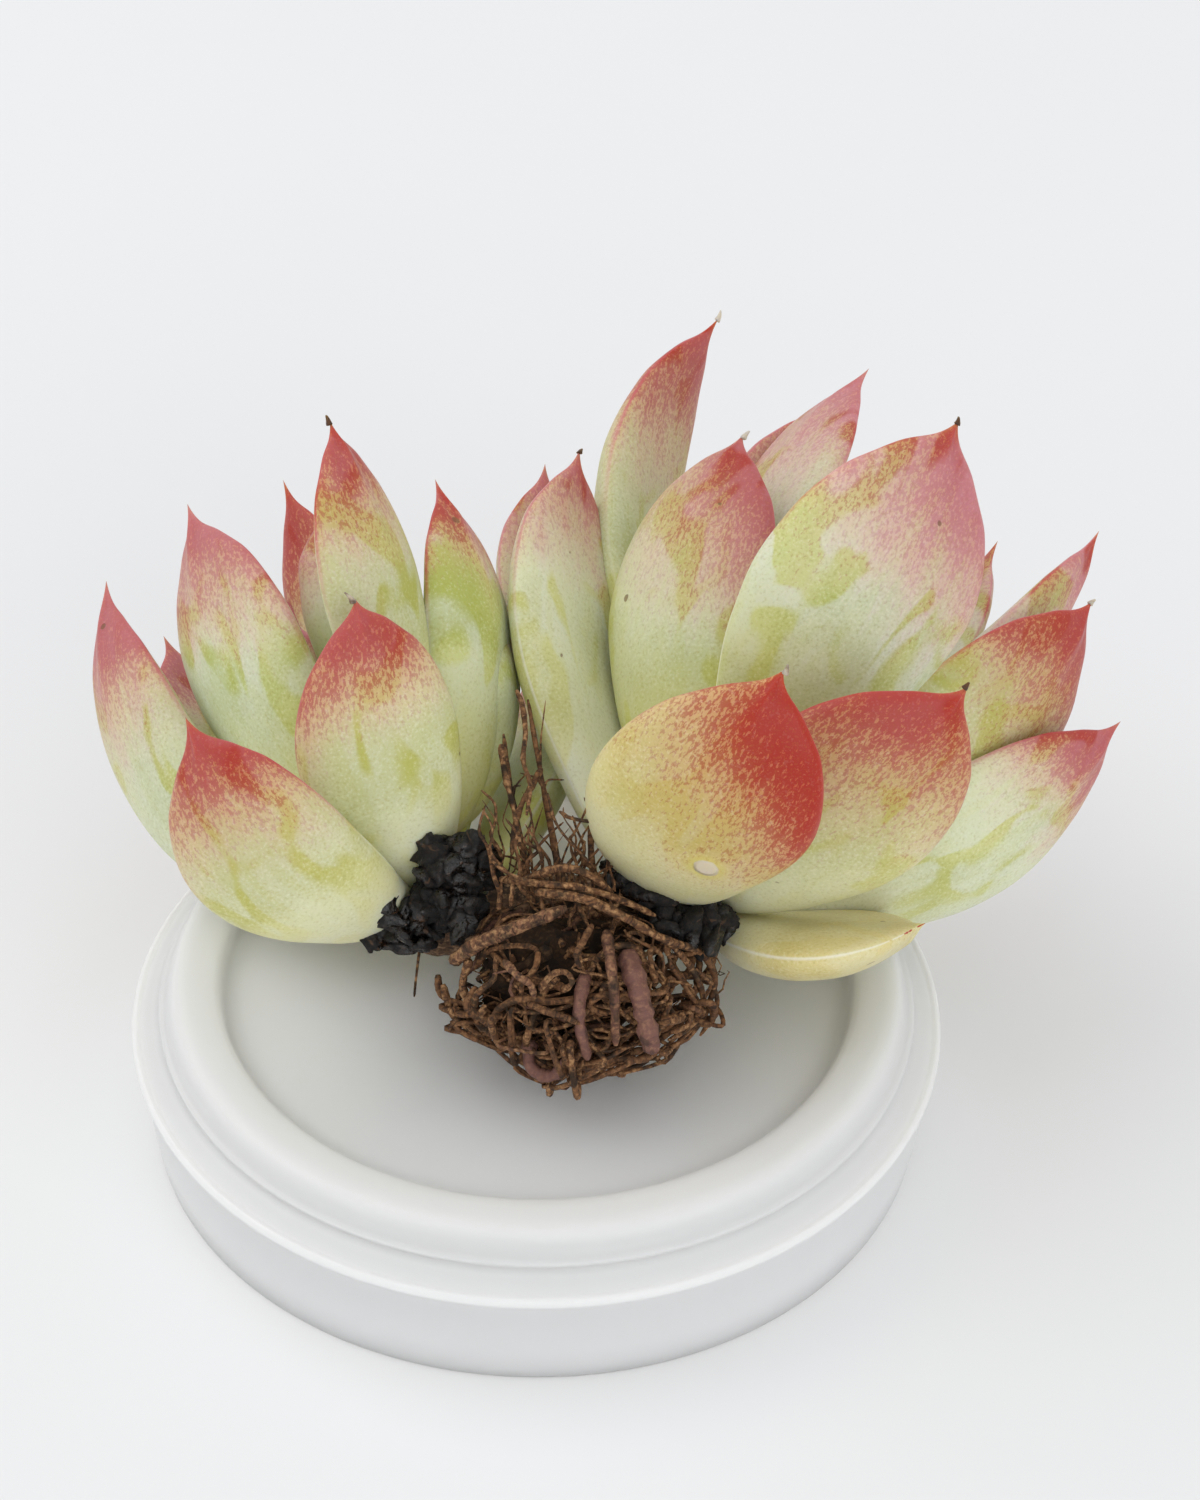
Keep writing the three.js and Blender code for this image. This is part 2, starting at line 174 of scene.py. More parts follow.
# Roots that stand out of the tangle: points they pass through, radius, how young and mauve they are.
FEATURE_ROOTS = [
    ([(8.6, -14.6, 17.7), (9.3, -17.5, 17.3), (10.0, -19.9, 16.0), (10.6, -21.1, 13.7),
      (11.2, -21.4, 10.9)], 1.15, 1.0),
    ([(4.7, -16.5, 16.8), (4.1, -19.3, 15.7), (4.1, -20.8, 13.8), (4.9, -21.8, 10.2)], 0.68, 0.95),
    ([(6.6, -14.1, 19.9), (7.0, -17.4, 18.9), (7.4, -20.0, 16.6), (7.6, -21.7, 12.0)], 0.60, 0.55),
    ([(-8.3, -12.8, 14.7), (-5.9, -14.4, 18.4), (-2.8, -15.1, 20.8), (0.3, -14.7, 22.1),
      (2.7, -13.4, 22.3)], 0.78, 0.45),
    ([(-0.2, -11.7, 22.8), (4.4, -13.3, 23.3), (8.3, -14.4, 22.0), (11.7, -14.5, 19.6),
      (15.5, -12.3, 16.0)], 0.52, 0.1),
    ([(-1.8, -9.6, 22.0), (0.6, -10.1, 23.9), (2.8, -10.2, 24.6), (5.2, -10.8, 24.0),
      (7.2, -11.1, 22.1)], 0.50, 0.0),
    ([(-3.7, -8.6, 21.7), (0.2, -11.2, 23.4), (4.0, -12.1, 23.7), (7.9, -11.8, 22.0),
      (11.4, -10.9, 19.2)], 0.42, 0.05),
    ([(0.8, -2.6, 27.7), (1.6, -5.9, 26.8), (3.1, -8.0, 25.9), (5.2, -9.7, 24.6)], 0.16, 0.0),
    ([(-4.9, -7.8, 24.3), (-3.8, -9.8, 24.2), (-1.8, -11.2, 24.1), (0.3, -11.9, 24.0)], 0.20, 0.0),
    ([(2.0, -5.3, 27.6), (3.0, -7.2, 28.4), (5.1, -8.2, 28.8), (7.1, -8.5, 29.3)], 0.22, 0.0),
    ([(10.9, -11, 17.4), (15.6, -11.6, 15.3), (17.4, -11.6, 12.1), (16.9, -12.6, 9.2),
      (15.2, -14.5, 6.9), (12.3, -17.7, 7.5)], 0.40, 0.15),
    ([(12.2, -13.0, 18.2), (14.2, -13.5, 16.0), (15.9, -13.7, 12.7), (16.2, -14.5, 10.1),
      (14.6, -16.4, 9.2), (12.8, -18.5, 9.8)], 0.34, 0.1),
    ([(13.1, -12.7, 17.0), (14.9, -13.2, 14.8), (17.2, -12.2, 11.3), (17.7, -12.2, 8.1),
      (16.1, -13.8, 6.0)], 0.30, 0.1),
    ([(-0.7, -19.1, 10.2), (-0.7, -20.6, 8.4), (0.6, -21.3, 7.6), (2.0, -21.5, 8.1),
      (2.8, -21.1, 9.5)], 0.72, 0.85),
    ([(2.3, -19.7, 7.9), (5.2, -20.7, 8.4), (7.6, -20.3, 9.0), (10.0, -20.4, 8.9),
      (12.0, -19.1, 9.0)], 0.50, 0.3),
    ([(-9.3, -12.7, 11.6), (-8.4, -14.2, 9.8), (-5.8, -16.3, 8.9), (-3.8, -17.1, 9.4),
      (-2.4, -17.3, 10.9)], 0.42, 0.25),
    ([(-9.8, -11.4, 11.7), (-9.6, -12.4, 10.3), (-8.6, -13.7, 10.4), (-6.6, -15.5, 11.4),
      (-4.6, -16.8, 11.4)], 0.36, 0.1),
    ([(-6.6, -14.2, 16.2), (-7.3, -15.0, 13.6), (-6.1, -16.5, 11.7), (-3.6, -17.8, 10.3),
      (-0.7, -19.0, 8.8)], 0.45, 0.2),
    ([(-3.2, -16.6, 18.2), (-1.9, -18.6, 18.1), (-0.7, -19.1, 17.4), (-0.3, -19.5, 16.2)], 0.45, 0.5),
    ([(0.2, -19.1, 16.7), (1.4, -18.5, 18.2), (2.7, -18.4, 18.4), (3.3, -19.0, 17.7),
      (2.4, -19.2, 16.6)], 0.36, 0.2),
    ([(-0.9, -19.1, 15.0), (1.0, -20.4, 15.1), (2.8, -20.8, 14.7), (4.1, -21.1, 14.2)], 0.38, 0.2),
    ([(5.2, -14.4, 21.0), (4.4, -16.1, 20.5), (3.7, -17.4, 19.7), (4.1, -17.8, 18.4)], 0.40, 0.15),
    ([(-11.0, -7.4, 14.5), (-11.6, -7.9, 12.4), (-12.0, -9.1, 9.6), (-12.2, -10.5, 7.9)], 0.16, 0.0),
    ([(-2.3, 8.4, 31.8), (-1.7, 6.6, 31.1), (-1.4, 4.2, 29.7), (-1.6, 1.0, 28.9),
      (-0.9, -2.1, 28.3), (-1.2, -4.7, 26.6)], 0.30, 0.0),
    ([(-3.8, 4.3, 28.2), (-3.5, 2.1, 27.0), (-2.8, -1.3, 26.1), (-2.2, -4.3, 25.4),
      (-1.8, -6.8, 24.0)], 0.34, 0.0),
    ([(0.2, 2.0, 27.1), (-0.8, 0.1, 26.2), (-1.9, -2.8, 25.8), (-2.4, -5.0, 24.7),
      (-2.6, -7.1, 23.6)], 0.38, 0.0),
]

# The thin roots that stand clear of the tangle.
LOOSE_ROOTS = [
    [(-0.5, -7.5, 17.4), (-1.5, -2.5, 19.9), (-2.8, 2.5, 23.9), (-3.6, 7, 27.4)],
    [(2.5, -7, 17.9), (1.5, -1.5, 20.4), (0, 4.5, 25.4), (-1.2, 9.4, 29.9)],
    [(6, -7.5, 17.4), (5.2, -3.5, 20.4), (5.5, -0.5, 23.4), (8, 0.5, 23.9)],
]

dish_low, dish_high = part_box("dish")
DISH_CENTRE = Vector(((dish_low.x + dish_high.x) / 2, (dish_low.y + dish_high.y) / 2, 0))
PLANT_ORIGIN = DISH_CENTRE + Vector((0, 0, FLOOR_HEIGHT * MM))


def in_plant(point):
    """A point measured from the middle of the dish floor, in millimetres, as a place in the frame."""
    return PLANT_ORIGIN + Vector(point) * MM


# ---------------------------------------------------------------- shader sums


class Socket:
    """One output of a shader node. A sum on it adds a Math node."""

    def __init__(self, shader, output):
        self.shader = shader
        self.output = output

    def math(self, operation, *values):
        return self.shader.node("Math", {"operation": operation}, *values)

    def __add__(self, other):
        return self.math("ADD", self, other)

    __radd__ = __add__

    def __sub__(self, other):
        return self.math("SUBTRACT", self, other)

    def __rsub__(self, other):
        return self.math("SUBTRACT", other, self)

    def __mul__(self, other):
        return self.math("MULTIPLY", self, other)

    __rmul__ = __mul__

    def __truediv__(self, other):
        return self.math("DIVIDE", self, other)

    def __rtruediv__(self, other):
        return self.math("DIVIDE", other, self)

    def __pow__(self, other):
        return self.math("POWER", self, other)

    def __abs__(self):
        return self.math("ABSOLUTE", self)


class Shader:
    """A material whose Principled shader is fed by nodes made here."""

    def __init__(self, name, **constants):
        self.material = bpy.data.materials.new(name)
        self.material.use_nodes = True
        self.tree = self.material.node_tree
        self.surface = self.tree.nodes["Principled BSDF"]
        for socket, value in constants.items():
            self.surface.inputs[socket.replace("_", " ")].default_value = value

    def feed(self, socket, value):
        if isinstance(value, Socket):
            self.tree.links.new(value.output, socket)
        elif isinstance(value, tuple) and len(value) == 3 and len(socket.default_value) == 4:
            socket.default_value = (*value, 1.0)
        else:
            socket.default_value = value

    def node(self, kind, settings=None, *values, give=0, **named):
        """Adds a node from its type, settings and inputs, in order or by name, and gives back one output."""
        made = self.tree.nodes.new("ShaderNode" + kind)
        for setting, value in (settings or {}).items():
            if setting == "stops":
                self.set_stops(made.color_ramp, value)
            else:
                setattr(made, setting, value)
        for socket, value in zip(made.inputs, values):
            self.feed(socket, value)
        for name, value in named.items():
            wanted = [socket for socket in made.inputs if socket.identifier == name]
            self.feed(wanted[0], value)
        output = made.outputs[give] if isinstance(give, int) else next(
            socket for socket in made.outputs if socket.identifier == give
        )
        return Socket(self, output)

    def set_stops(self, ramp, stops):
        while len(ramp.elements) < len(stops):
            ramp.elements.new(1.0)
        for element, (position, colour) in zip(ramp.elements, stops):
            element.position = position
            element.color = (*colour, 1.0)

    def attribute(self, name):
        """The three parts of a vector that each vertex of the piece carries."""
        vector = self.node("Attribute", {"attribute_name": name}, give="Vector")
        return [self.node("SeparateXYZ", None, vector, give=part) for part in range(3)]

    def place(self):
        return self.node("TexCoord", give="Object")

    def grain(self, vector, scale, detail=2.0, roughness=0.5, distortion=0.0):
        return self.node(
            "TexNoise", None, Vector=vector, Scale=scale, Detail=detail, Roughness=roughness,
            Distortion=distortion, give="Fac",
        )

    def step(self, value, low, high):
        """0 below low, 1 above high, and smooth between them."""
        limits = {"From Min": low, "From Max": high}
        return self.node("MapRange", {"interpolation_type": "SMOOTHSTEP"}, Value=value, **limits)

    def mix(self, mask, below, above):
        """The colour below where the mask is 0, and the colour above where it is 1."""
        return self.node(
            "Mix", {"data_type": "RGBA"}, Factor_Float=mask, A_Color=below, B_Color=above,
            give="Result_Color",
        )

    def vector(self, x, y, z):
        return self.node("CombineXYZ", None, x, y, z)

    def bump(self, height, distance, strength=1.0):
        return self.node("Bump", None, Strength=strength, Distance=distance, Height=height)

    def finish(self, **sockets):
        for name, value in sockets.items():
            self.feed(self.surface.inputs[name.replace("_", " ")], value)
        return self.material


# ---------------------------------------------------------------- materials


OVERALL_DARKENING = 0.10


def leaf_skin():
    """Plump pale green skin under a chalky bloom, blushing red to the tip in fine dashes."""
    skin = Shader(
        "leaf_skin",
        Subsurface_Weight=0.32,
        Subsurface_Radius=(1.0, 0.75, 0.28),
        Subsurface_Scale=2.6 * MM,
        Specular_IOR_Level=0.24,
    )
    along, _, face = skin.attribute("leaf_share")
    across, reach_mm, through = skin.attribute("leaf_place")
    blush, bloom, age = skin.attribute("leaf_look")
    seed, dry, pale = skin.attribute("leaf_more")
    glow = skin.attribute("leaf_glow")[0]
    scar_x, scar_y, scar_z = skin.attribute("scar_offset")
    here = skin.place()

    # Slow variation over a leaf, streaks along it, and the fine granular speckle of its skin.
    slow = skin.grain(here, 95, detail=2)
    speckle = skin.grain(here, 3000, detail=1.5, roughness=0.6)
    coarse = skin.grain(here, 950, detail=2)
    streak_space = skin.vector(across, reach_mm * 0.20, seed * 40 + through * 0.4)
    streak = skin.grain(streak_space, 0.5, detail=2, distortion=0.4)
    dash_space = skin.vector(across, reach_mm * 0.45, seed * 60 + through)
    dash = skin.grain(dash_space, 3.2, detail=3, roughness=0.7)

    # Green flesh, yellower on ageing leaves and paler towards the base. Where a leaf's glow value is strong,
    # its base is painted a saturated yellow-green, painted light for light shining through the flesh deep in
    # the rosette.
    deep = skin.mix(age, (0.43, 0.49, 0.060), (0.62, 0.50, 0.14))
    light = skin.mix(age, (0.66, 0.71, 0.27), (0.76, 0.66, 0.30))
    flesh = skin.mix(skin.step(slow + 0.25 * speckle, 0.42, 0.78), deep, light)
    foot = skin.mix(glow, (0.84, 0.82, 0.60), (0.80, 0.76, 0.16))
    flesh = skin.mix(skin.step(along, 0.55, 0.10) * 0.85, flesh, foot)

    # The blush: solid at the tip, breaking into dashes and dots further down, with a red line on the margin.
    front = along + 0.26 * (slow - 0.5) + 0.20 * (streak - 0.5) + 0.05 * (1 - skin.step(abs(face), 0.0, 0.5))
    share = (front - 1 + blush) / blush
    dots = skin.step((dash - 0.5) * 3.6 + share * 1.10 - 0.60, -0.08, 0.20) * skin.step(share, -0.05, 0.30)
    warm = skin.mix(skin.step(share, 0.30, 1.00), (0.64, 0.39, 0.16), (0.52, 0.052, 0.028))
    flesh = skin.mix(skin.step(share, 0.0, 0.95) * 0.92, flesh, warm)
    dot_colour = skin.mix(skin.step(share, 0.15, 0.85), (0.42, 0.15, 0.035), (0.40, 0.014, 0.009))
    flesh = skin.mix(dots * (0.50 + 0.30 * skin.step(share, 0.2, 0.9)), flesh, dot_colour)
    margin = 1 - skin.step(abs(face), 0.03, 0.14)
    margin = margin * skin.step(along, 0.45, 0.80) * skin.step(blush, 0.04, 0.15)
    flesh = skin.mix(margin * 0.75, flesh, (0.52, 0.045, 0.045))

    # Chalky bloom, rubbed thin in patches and streaks where the leaf was touched.
    red = skin.step(share, 0.20, 0.85)
    patch_space = skin.vector(across * 0.9, reach_mm * 0.5, seed * 25 + face)
    patch = skin.grain(patch_space, 0.21, detail=1.5, distortion=0.7)
    kept = skin.step(patch, 0.40, 0.49) * (0.70 + 0.30 * skin.step(streak, 0.35, 0.65))
    film = bloom * (0.14 + 0.72 * kept) * (0.80 + 0.40 * speckle)
    # Painted light: the bloom thins at the base of the glowing leaves so that their painted glow shows
    # through.
    film = film * (1 - red * (1.15 - 0.75 * bloom)) * (1 - 0.7 * glow * skin.step(along, 0.60, 0.20))
    bloom_colour = skin.mix(skin.step(share, 0.1, 0.7), (0.84, 0.89, 0.84), (0.88, 0.57, 0.66))
    colour = skin.mix(film * 0.80, flesh, bloom_colour)
    pale_grain = skin.step(speckle, 0.54, 0.72) * (0.17 - 0.13 * red)
    colour = skin.mix(pale_grain, colour, (0.93, 0.92, 0.74))
    colour = skin.mix(skin.step(speckle, 0.45, 0.28) * (0.17 - 0.08 * red), colour, (0.36, 0.29, 0.05))

    # A whitish band along the unblushed edges: partly the margin's own paler skin, partly painted light for
    # light glowing through the thin edge.
    edge = 1 - skin.step(abs(face), 0.0, 0.10)
    edge = edge * (1 - skin.step(share, -0.3, 0.2)) * skin.step(along, 0.05, 0.2)
    colour = skin.mix(edge * 0.55, colour, (0.93, 0.93, 0.87))

    # Blushed base where the leaf joins the stem, a few brown pits, the old scar and the dry point.
    colour = skin.mix(skin.step(along, 0.08, 0.0) * 0.55, colour, (0.62, 0.30, 0.20))
    pit = skin.step(skin.grain(here, 640, detail=0), 0.140, 0.115)
    colour = skin.mix(pit * 0.7, colour, (0.20, 0.10, 0.04))
    scar = skin.node("VectorMath", {"operation": "LENGTH"}, skin.vector(scar_x, scar_y, scar_z), give="Value")
    rough_edge = scar + 0.35 * (coarse - 0.5)
    colour = skin.mix(skin.step(rough_edge, 1.9, 1.1) * 0.6, colour, (0.72, 0.62, 0.16))
    colour = skin.mix(skin.step(rough_edge, 1.05, 0.85), colour, (0.76, 0.66, 0.48))
    bleached = skin.step(pale + 0.6 * (coarse - 0.5), 0.3, 0.7)
    dry_colour = skin.mix(bleached, (0.075, 0.038, 0.022), (0.62, 0.54, 0.46))
    colour = skin.mix(skin.step(dry + 0.3 * (coarse - 0.5), 0.4, 0.6), colour, dry_colour)

    colour = skin.mix(OVERALL_DARKENING, colour, (0.0, 0.0, 0.0))
    rough = 0.33 + 0.26 * film + 0.10 * (speckle - 0.5)
    height = 0.3 * speckle + 0.5 * coarse - 1.2 * pit
    height = height + 6 * skin.step(scar, 1.05, 0.7) + 2 * streak
    return skin.finish(Base_Color=colour, Roughness=rough, Normal=skin.bump(height, 0.045 * MM))


def root_bark(name, dark, mid, light, blush):
    """Wiry brown bark with clinging dirt, tan where it has rubbed and mauve on the thick young roots.

    A root's youth is 0 on old bark and 1 on a young root. It is -1 on the near-black core and thick roots
    inside the tangle.
    """
    bark = Shader(name, Specular_IOR_Level=0.3)
    along, young, seed = bark.attribute("root_look")
    here = bark.place()
    ridges = bark.grain(bark.vector(seed * 30, along * 0.9, seed * 7), 3.0, detail=4, roughness=0.7)
    fine = bark.grain(here, 1900, detail=3, roughness=0.6)
    clump = bark.grain(here, 420, detail=3, roughness=0.6)
    colour = bark.mix(bark.step(0.6 * ridges + 0.4 * fine, 0.36, 0.62), dark, mid)
    tone = bark.step(bark.grain(bark.vector(seed * 91, seed * 17, seed * 5), 3.0, detail=0), 0.35, 0.65)
    colour = bark.mix(bark.step(fine, 0.46, 0.70) * (0.25 + 0.6 * tone), colour, light)
    colour = bark.mix(bark.step(young + 0.5 * (ridges - 0.5), 0.3, 0.9) * 0.70, colour, blush)
    # Near black where the youth is -1: the core and thick roots inside the tangle.
    colour = bark.mix(bark.step(young, -0.4, -0.6) * 0.85, colour, (0.012, 0.007, 0.004))
    dirt = bark.step(clump + 0.25 * (fine - 0.5), 0.55, 0.63)
    colour = bark.mix(dirt * (0.85 - 0.3 * young), colour, (0.016, 0.010, 0.006))
    height = 0.6 * fine + ridges + 0.8 * clump
    return bark.finish(
        Base_Color=colour, Roughness=0.72 + 0.22 * fine - 0.15 * young, Normal=bark.bump(height, 0.10 * MM),
    )


def peat():
    """Wet black peat with glossy facets and a few brown fibres."""
    soil = Shader("peat", Specular_IOR_Level=0.5)
    here = soil.place()
    clump = soil.grain(here, 330, detail=4, roughness=0.6)
    fine = soil.grain(here, 1500, detail=3, roughness=0.65)
    fibre = soil.grain(soil.node("Mapping", None, Vector=here, Scale=(1.0, 0.25, 2.2)), 900, detail=2)
    colour = soil.mix(soil.step(fine, 0.42, 0.66), (0.0022, 0.0018, 0.0016), (0.014, 0.008, 0.005))
    colour = soil.mix(soil.step(fibre, 0.62, 0.74) * 0.6, colour, (0.10, 0.050, 0.024))
    height = 1.6 * clump + 0.7 * fine
    rough = 0.26 + 0.60 * soil.step(clump, 0.40, 0.54)
    return soil.finish(Base_Color=colour, Roughness=rough, Normal=soil.bump(height, 0.35 * MM))


def frosted_plastic():
    """Milky, slightly see-through moulded plastic with faint scuffs and a few coloured specks, painted
    lighter on its skirt and floor and darker on its rim as painted light.
    """
    plastic = Shader(
        "frosted_plastic",
        Transmission_Weight=0.05,
        IOR=1.42,
        Subsurface_Weight=0.7,
        Subsurface_Radius=(1.0, 0.97, 0.93),
        Subsurface_Scale=7 * MM,
        Specular_IOR_Level=0.4,
    )
    here = plastic.place()
    cloud = plastic.grain(here, 60, detail=3)
    frost = plastic.grain(here, 2200, detail=2)
    stretched = plastic.node("Mapping", None, Vector=here, Scale=(1.0, 1.0, 6.0))
    scuff = plastic.grain(stretched, 240, detail=5, roughness=0.7)
    across, back, up = [plastic.node("SeparateXYZ", None, here, give=part) for part in range(3)]
    across = across - DISH_CENTRE.x
    back = back - DISH_CENTRE.y
    radius = (across * across + back * back) ** 0.5
    # Painted light: the skirt below the rim is painted lighter for light shining through the plastic, the rim
    # darker to tone down its lit top, and the floor inside the mouth lighter against the plant's shade.
    inside = 1 - plastic.step(radius, (MOUTH_RADIUS - 1.2) * MM, MOUTH_RADIUS * MM)
    base = plastic.mix(plastic.step(up, 11.2 * MM, 13.6 * MM), (0.975, 0.958, 0.930), (0.800, 0.790, 0.768))
    base = plastic.mix(inside, base, (0.955, 0.938, 0.905))
    colour = plastic.mix(cloud * 0.06, base, (1.0, 1.0, 1.0))
    marks = plastic.step(scuff, 0.66, 0.74)
    colour = plastic.mix(marks * 0.25, colour, (0.93, 0.93, 0.92))
    fleck = plastic.node("TexVoronoi", {"feature": "F1"}, Vector=here, Scale=190.0, give="Distance")
    tint = plastic.node("TexVoronoi", {"feature": "F1"}, Vector=here, Scale=190.0, give="Color")
    rare = plastic.step(plastic.node("SeparateXYZ", None, tint, give=0), 0.965, 0.975)
    colour = plastic.mix(plastic.step(fleck, 0.075, 0.05) * rare * 0.6, colour, (0.42, 0.18, 0.17))
    rough = 0.24 + 0.12 * cloud + 0.10 * frost + 0.15 * marks
    height = 0.4 * frost + 2.0 * cloud + 0.5 * marks
    return plastic.finish(Base_Color=colour, Roughness=rough, Normal=plastic.bump(height, 0.02 * MM))


LEAF_SKIN = leaf_skin()
ROOT_BARK = root_bark(
    "root_bark", dark=(0.030, 0.015, 0.008), mid=(0.200, 0.088, 0.036), light=(0.46, 0.26, 0.12),
    blush=(0.20, 0.092, 0.078),
)
STEM_BARK = root_bark(
    "stem_bark", dark=(0.030, 0.016, 0.009), mid=(0.160, 0.085, 0.045), light=(0.34, 0.21, 0.12),
    blush=(0.24, 0.11, 0.08),
)
PEAT = peat()
FROSTED_PLASTIC = frosted_plastic()


# ---------------------------------------------------------------- making pieces


def piece_from(bm, name, material, slot, *nodes, levels=0):
    """Turns a bmesh in frame coordinates into a finished piece that stands for those CAD nodes."""
    mesh = bpy.data.meshes.new(name)
    bm.to_mesh(mesh)
    bm.free()
    mesh.materials.append(material)
    mesh.shade_smooth()
    piece = bpy.data.objects.new(name, mesh)
    bpy.context.scene.collection.objects.link(piece)
    if levels:
        rounded = piece.modifiers.new("rounded", "SUBSURF")
        rounded.levels = levels
        rounded.render_levels = levels
    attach(piece, "root")
    if nodes:
        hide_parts(*nodes)
    return piece


def add_bmesh(bm, other):
    """Joins another bmesh into this one."""
    mesh = bpy.data.meshes.new("joined")
    other.to_mesh(mesh)
    other.free()
    bm.from_mesh(mesh)
    bpy.data.meshes.remove(mesh)


def ease(value, low, high):
    share = min(1.0, max(0.0, (value - low) / (high - low)))
    return share * share * (3 - 2 * share)


# ---------------------------------------------------------------- dish


def dish_profile():
    """Radius and height round the dish's wall, from the underside's middle out and over to the floor's."""
    wall = DISH_WALL
    return [
        (0, FLOOR_HEIGHT - wall),
        (MOUTH_RADIUS - wall - 1.5, FLOOR_HEIGHT - wall),
        (MOUTH_RADIUS - wall + 0.3, FLOOR_HEIGHT - wall + 0.3),
        (NECK_RADIUS - 2.6, RIM_HEIGHT - 2.0),
        (NECK_RADIUS - wall - 0.2, RIM_HEIGHT - 2.6),
        (NECK_RADIUS - wall, SKIRT_HEIGHT + 1.0),
        (DISH_RADIUS - 2.1, SKIRT_HEIGHT - 0.9),
        (DISH_RADIUS - 1.7, SKIRT_HEIGHT - 1.8),
        (DISH_RADIUS - 3.1, 0.5),
        (DISH_RADIUS - 3.0, 0.1),
        (DISH_RADIUS - 2.7, 0),
        (DISH_RADIUS - 2.1, 0),
        (DISH_RADIUS - 1.85, 0.25),
        (DISH_RADIUS - 1.2, 4.5),
        (DISH_RADIUS - 0.65, SKIRT_HEIGHT - 1.6),
        (DISH_RADIUS - 0.55, SKIRT_HEIGHT - 1.15),
        (DISH_RADIUS - 0.15, SKIRT_HEIGHT - 0.8),
        (DISH_RADIUS + 0.1, SKIRT_HEIGHT - 0.5),
        (DISH_RADIUS + 0.1, SKIRT_HEIGHT - 0.05),
        (DISH_RADIUS - 0.15, SKIRT_HEIGHT + 0.25),
        (DISH_RADIUS - 0.45, SKIRT_HEIGHT + 0.30),
        (DISH_RADIUS - 0.65, SKIRT_HEIGHT + 0.18),
        (DISH_RADIUS - 0.9, SKIRT_HEIGHT + 0.3),
        (NECK_RADIUS + 1.2, SKIRT_HEIGHT + 1.45),
        (NECK_RADIUS + 0.5, SKIRT_HEIGHT + 1.8),
        (NECK_RADIUS + 0.50, SKIRT_HEIGHT + 1.95),
        (NECK_RADIUS + 0.68, SKIRT_HEIGHT + 2.15),
        (NECK_RADIUS + 0.60, SKIRT_HEIGHT + 2.40),
        (NECK_RADIUS + 0.30, SKIRT_HEIGHT + 2.52),
        (NECK_RADIUS, SKIRT_HEIGHT + 2.7),
        (NECK_RADIUS - 0.45, RIM_HEIGHT - 1.7),
        (NECK_RADIUS - 0.75, RIM_HEIGHT - 0.95),
        (NECK_RADIUS - 1.1, RIM_HEIGHT - 0.5),
        (NECK_RADIUS - 1.7, RIM_HEIGHT - 0.2),
        (NECK_RADIUS - 2.6, RIM_HEIGHT - 0.08),
        (MOUTH_RADIUS + 1.6, RIM_HEIGHT),
        (MOUTH_RADIUS + 0.8, RIM_HEIGHT - 0.02),
        (MOUTH_RADIUS + 0.3, RIM_HEIGHT - 0.2),
        (MOUTH_RADIUS, RIM_HEIGHT - 0.6),
        (MOUTH_RADIUS - 0.15, RIM_HEIGHT - 1.2),
        (MOUTH_RADIUS - 0.5, FLOOR_HEIGHT + 0.35),
        (MOUTH_RADIUS - 1.2, FLOOR_HEIGHT + 0.06),
        (MOUTH_RADIUS - 2.4, FLOOR_HEIGHT),
        (0, FLOOR_HEIGHT),
    ]


def make_dish():
    bm = bmesh.new()
    ring = [bm.verts.new(DISH_CENTRE + Vector((radius, 0, height)) * MM) for radius, height in dish_profile()]
    edges = [bm.edges.new(pair) for pair in zip(ring, ring[1:])]
    bmesh.ops.spin(
        bm, geom=ring + edges, cent=DISH_CENTRE, axis=(0, 0, 1), angle=2 * math.pi, steps=DISH_STEPS,
        use_merge=True,
    )
    bmesh.ops.remove_doubles(bm, verts=bm.verts, dist=0.005 * MM)
    bmesh.ops.recalc_face_normals(bm, faces=bm.faces)
    return piece_from(bm, "frosted_dish", FROSTED_PLASTIC, "frosted_plastic", "dish")


# ---------------------------------------------------------------- leaves


def head_frame(head):
    """The head's axis, its front, which faces forwards and up, and its side."""
    axis = Vector(head["axis"]).normalized()
    forwards = Vector((0, -1, 1))
    front = (forwards - axis * forwards.dot(axis)).normalized()
    return Vector(head["base"]), axis, front, axis.cross(front).normalized()


def leaf_arc(head, leaf):
    """The leaf's middle line: an arc from the stem that bends in towards the head's axis."""
    base, axis, front, side = head_frame(head)
    azimuth, lean, height, length, _, roll = leaf[:6]
    curl = math.radians(leaf[6]) if len(leaf) > 6 else LEAF_CURL
    sway = leaf[7] if len(leaf) > 7 else 0
    turn = math.radians(azimuth)
    outward = front * math.cos(turn) + side * math.sin(turn)
    stem = STEM_RADIUS + (STEM_TIP_RADIUS - STEM_RADIUS) * min(1, max(0, height / STEM_LENGTH))
    root = base + axis * height + outward * (stem + GAP)
    radius = length / curl
    start = math.radians(lean) + curl / 2
    level = axis.cross(outward)

    def at(share):
        angle = start - curl * share
        centre = root + axis * radius * (math.sin(start) - math.sin(angle))
        centre = centre + outward * radius * (math.cos(angle) - math.cos(start))
        inner = axis * math.sin(angle) - outward * math.cos(angle)
        tangent = inner.cross(level)
        rolled = Quaternion(tangent, math.radians(roll))
        across = rolled @ level
        return centre + across * sway * share * share, rolled @ inner, across, tangent

    return at


def width_share(t):
    """How much of its full width a leaf has at a share t of the way to its tip."""
    return math.sin(math.pi * t ** 1.3) ** 0.7 if 0 < t < 1 else 0.0


def pointed(t):
    """The width's share once the last part of the leaf runs nearly straight in to its point."""
    if t < TAPER_START:
        return width_share(t)
    return width_share(TAPER_START) * ((1 - t) / (1 - TAPER_START)) ** 0.86


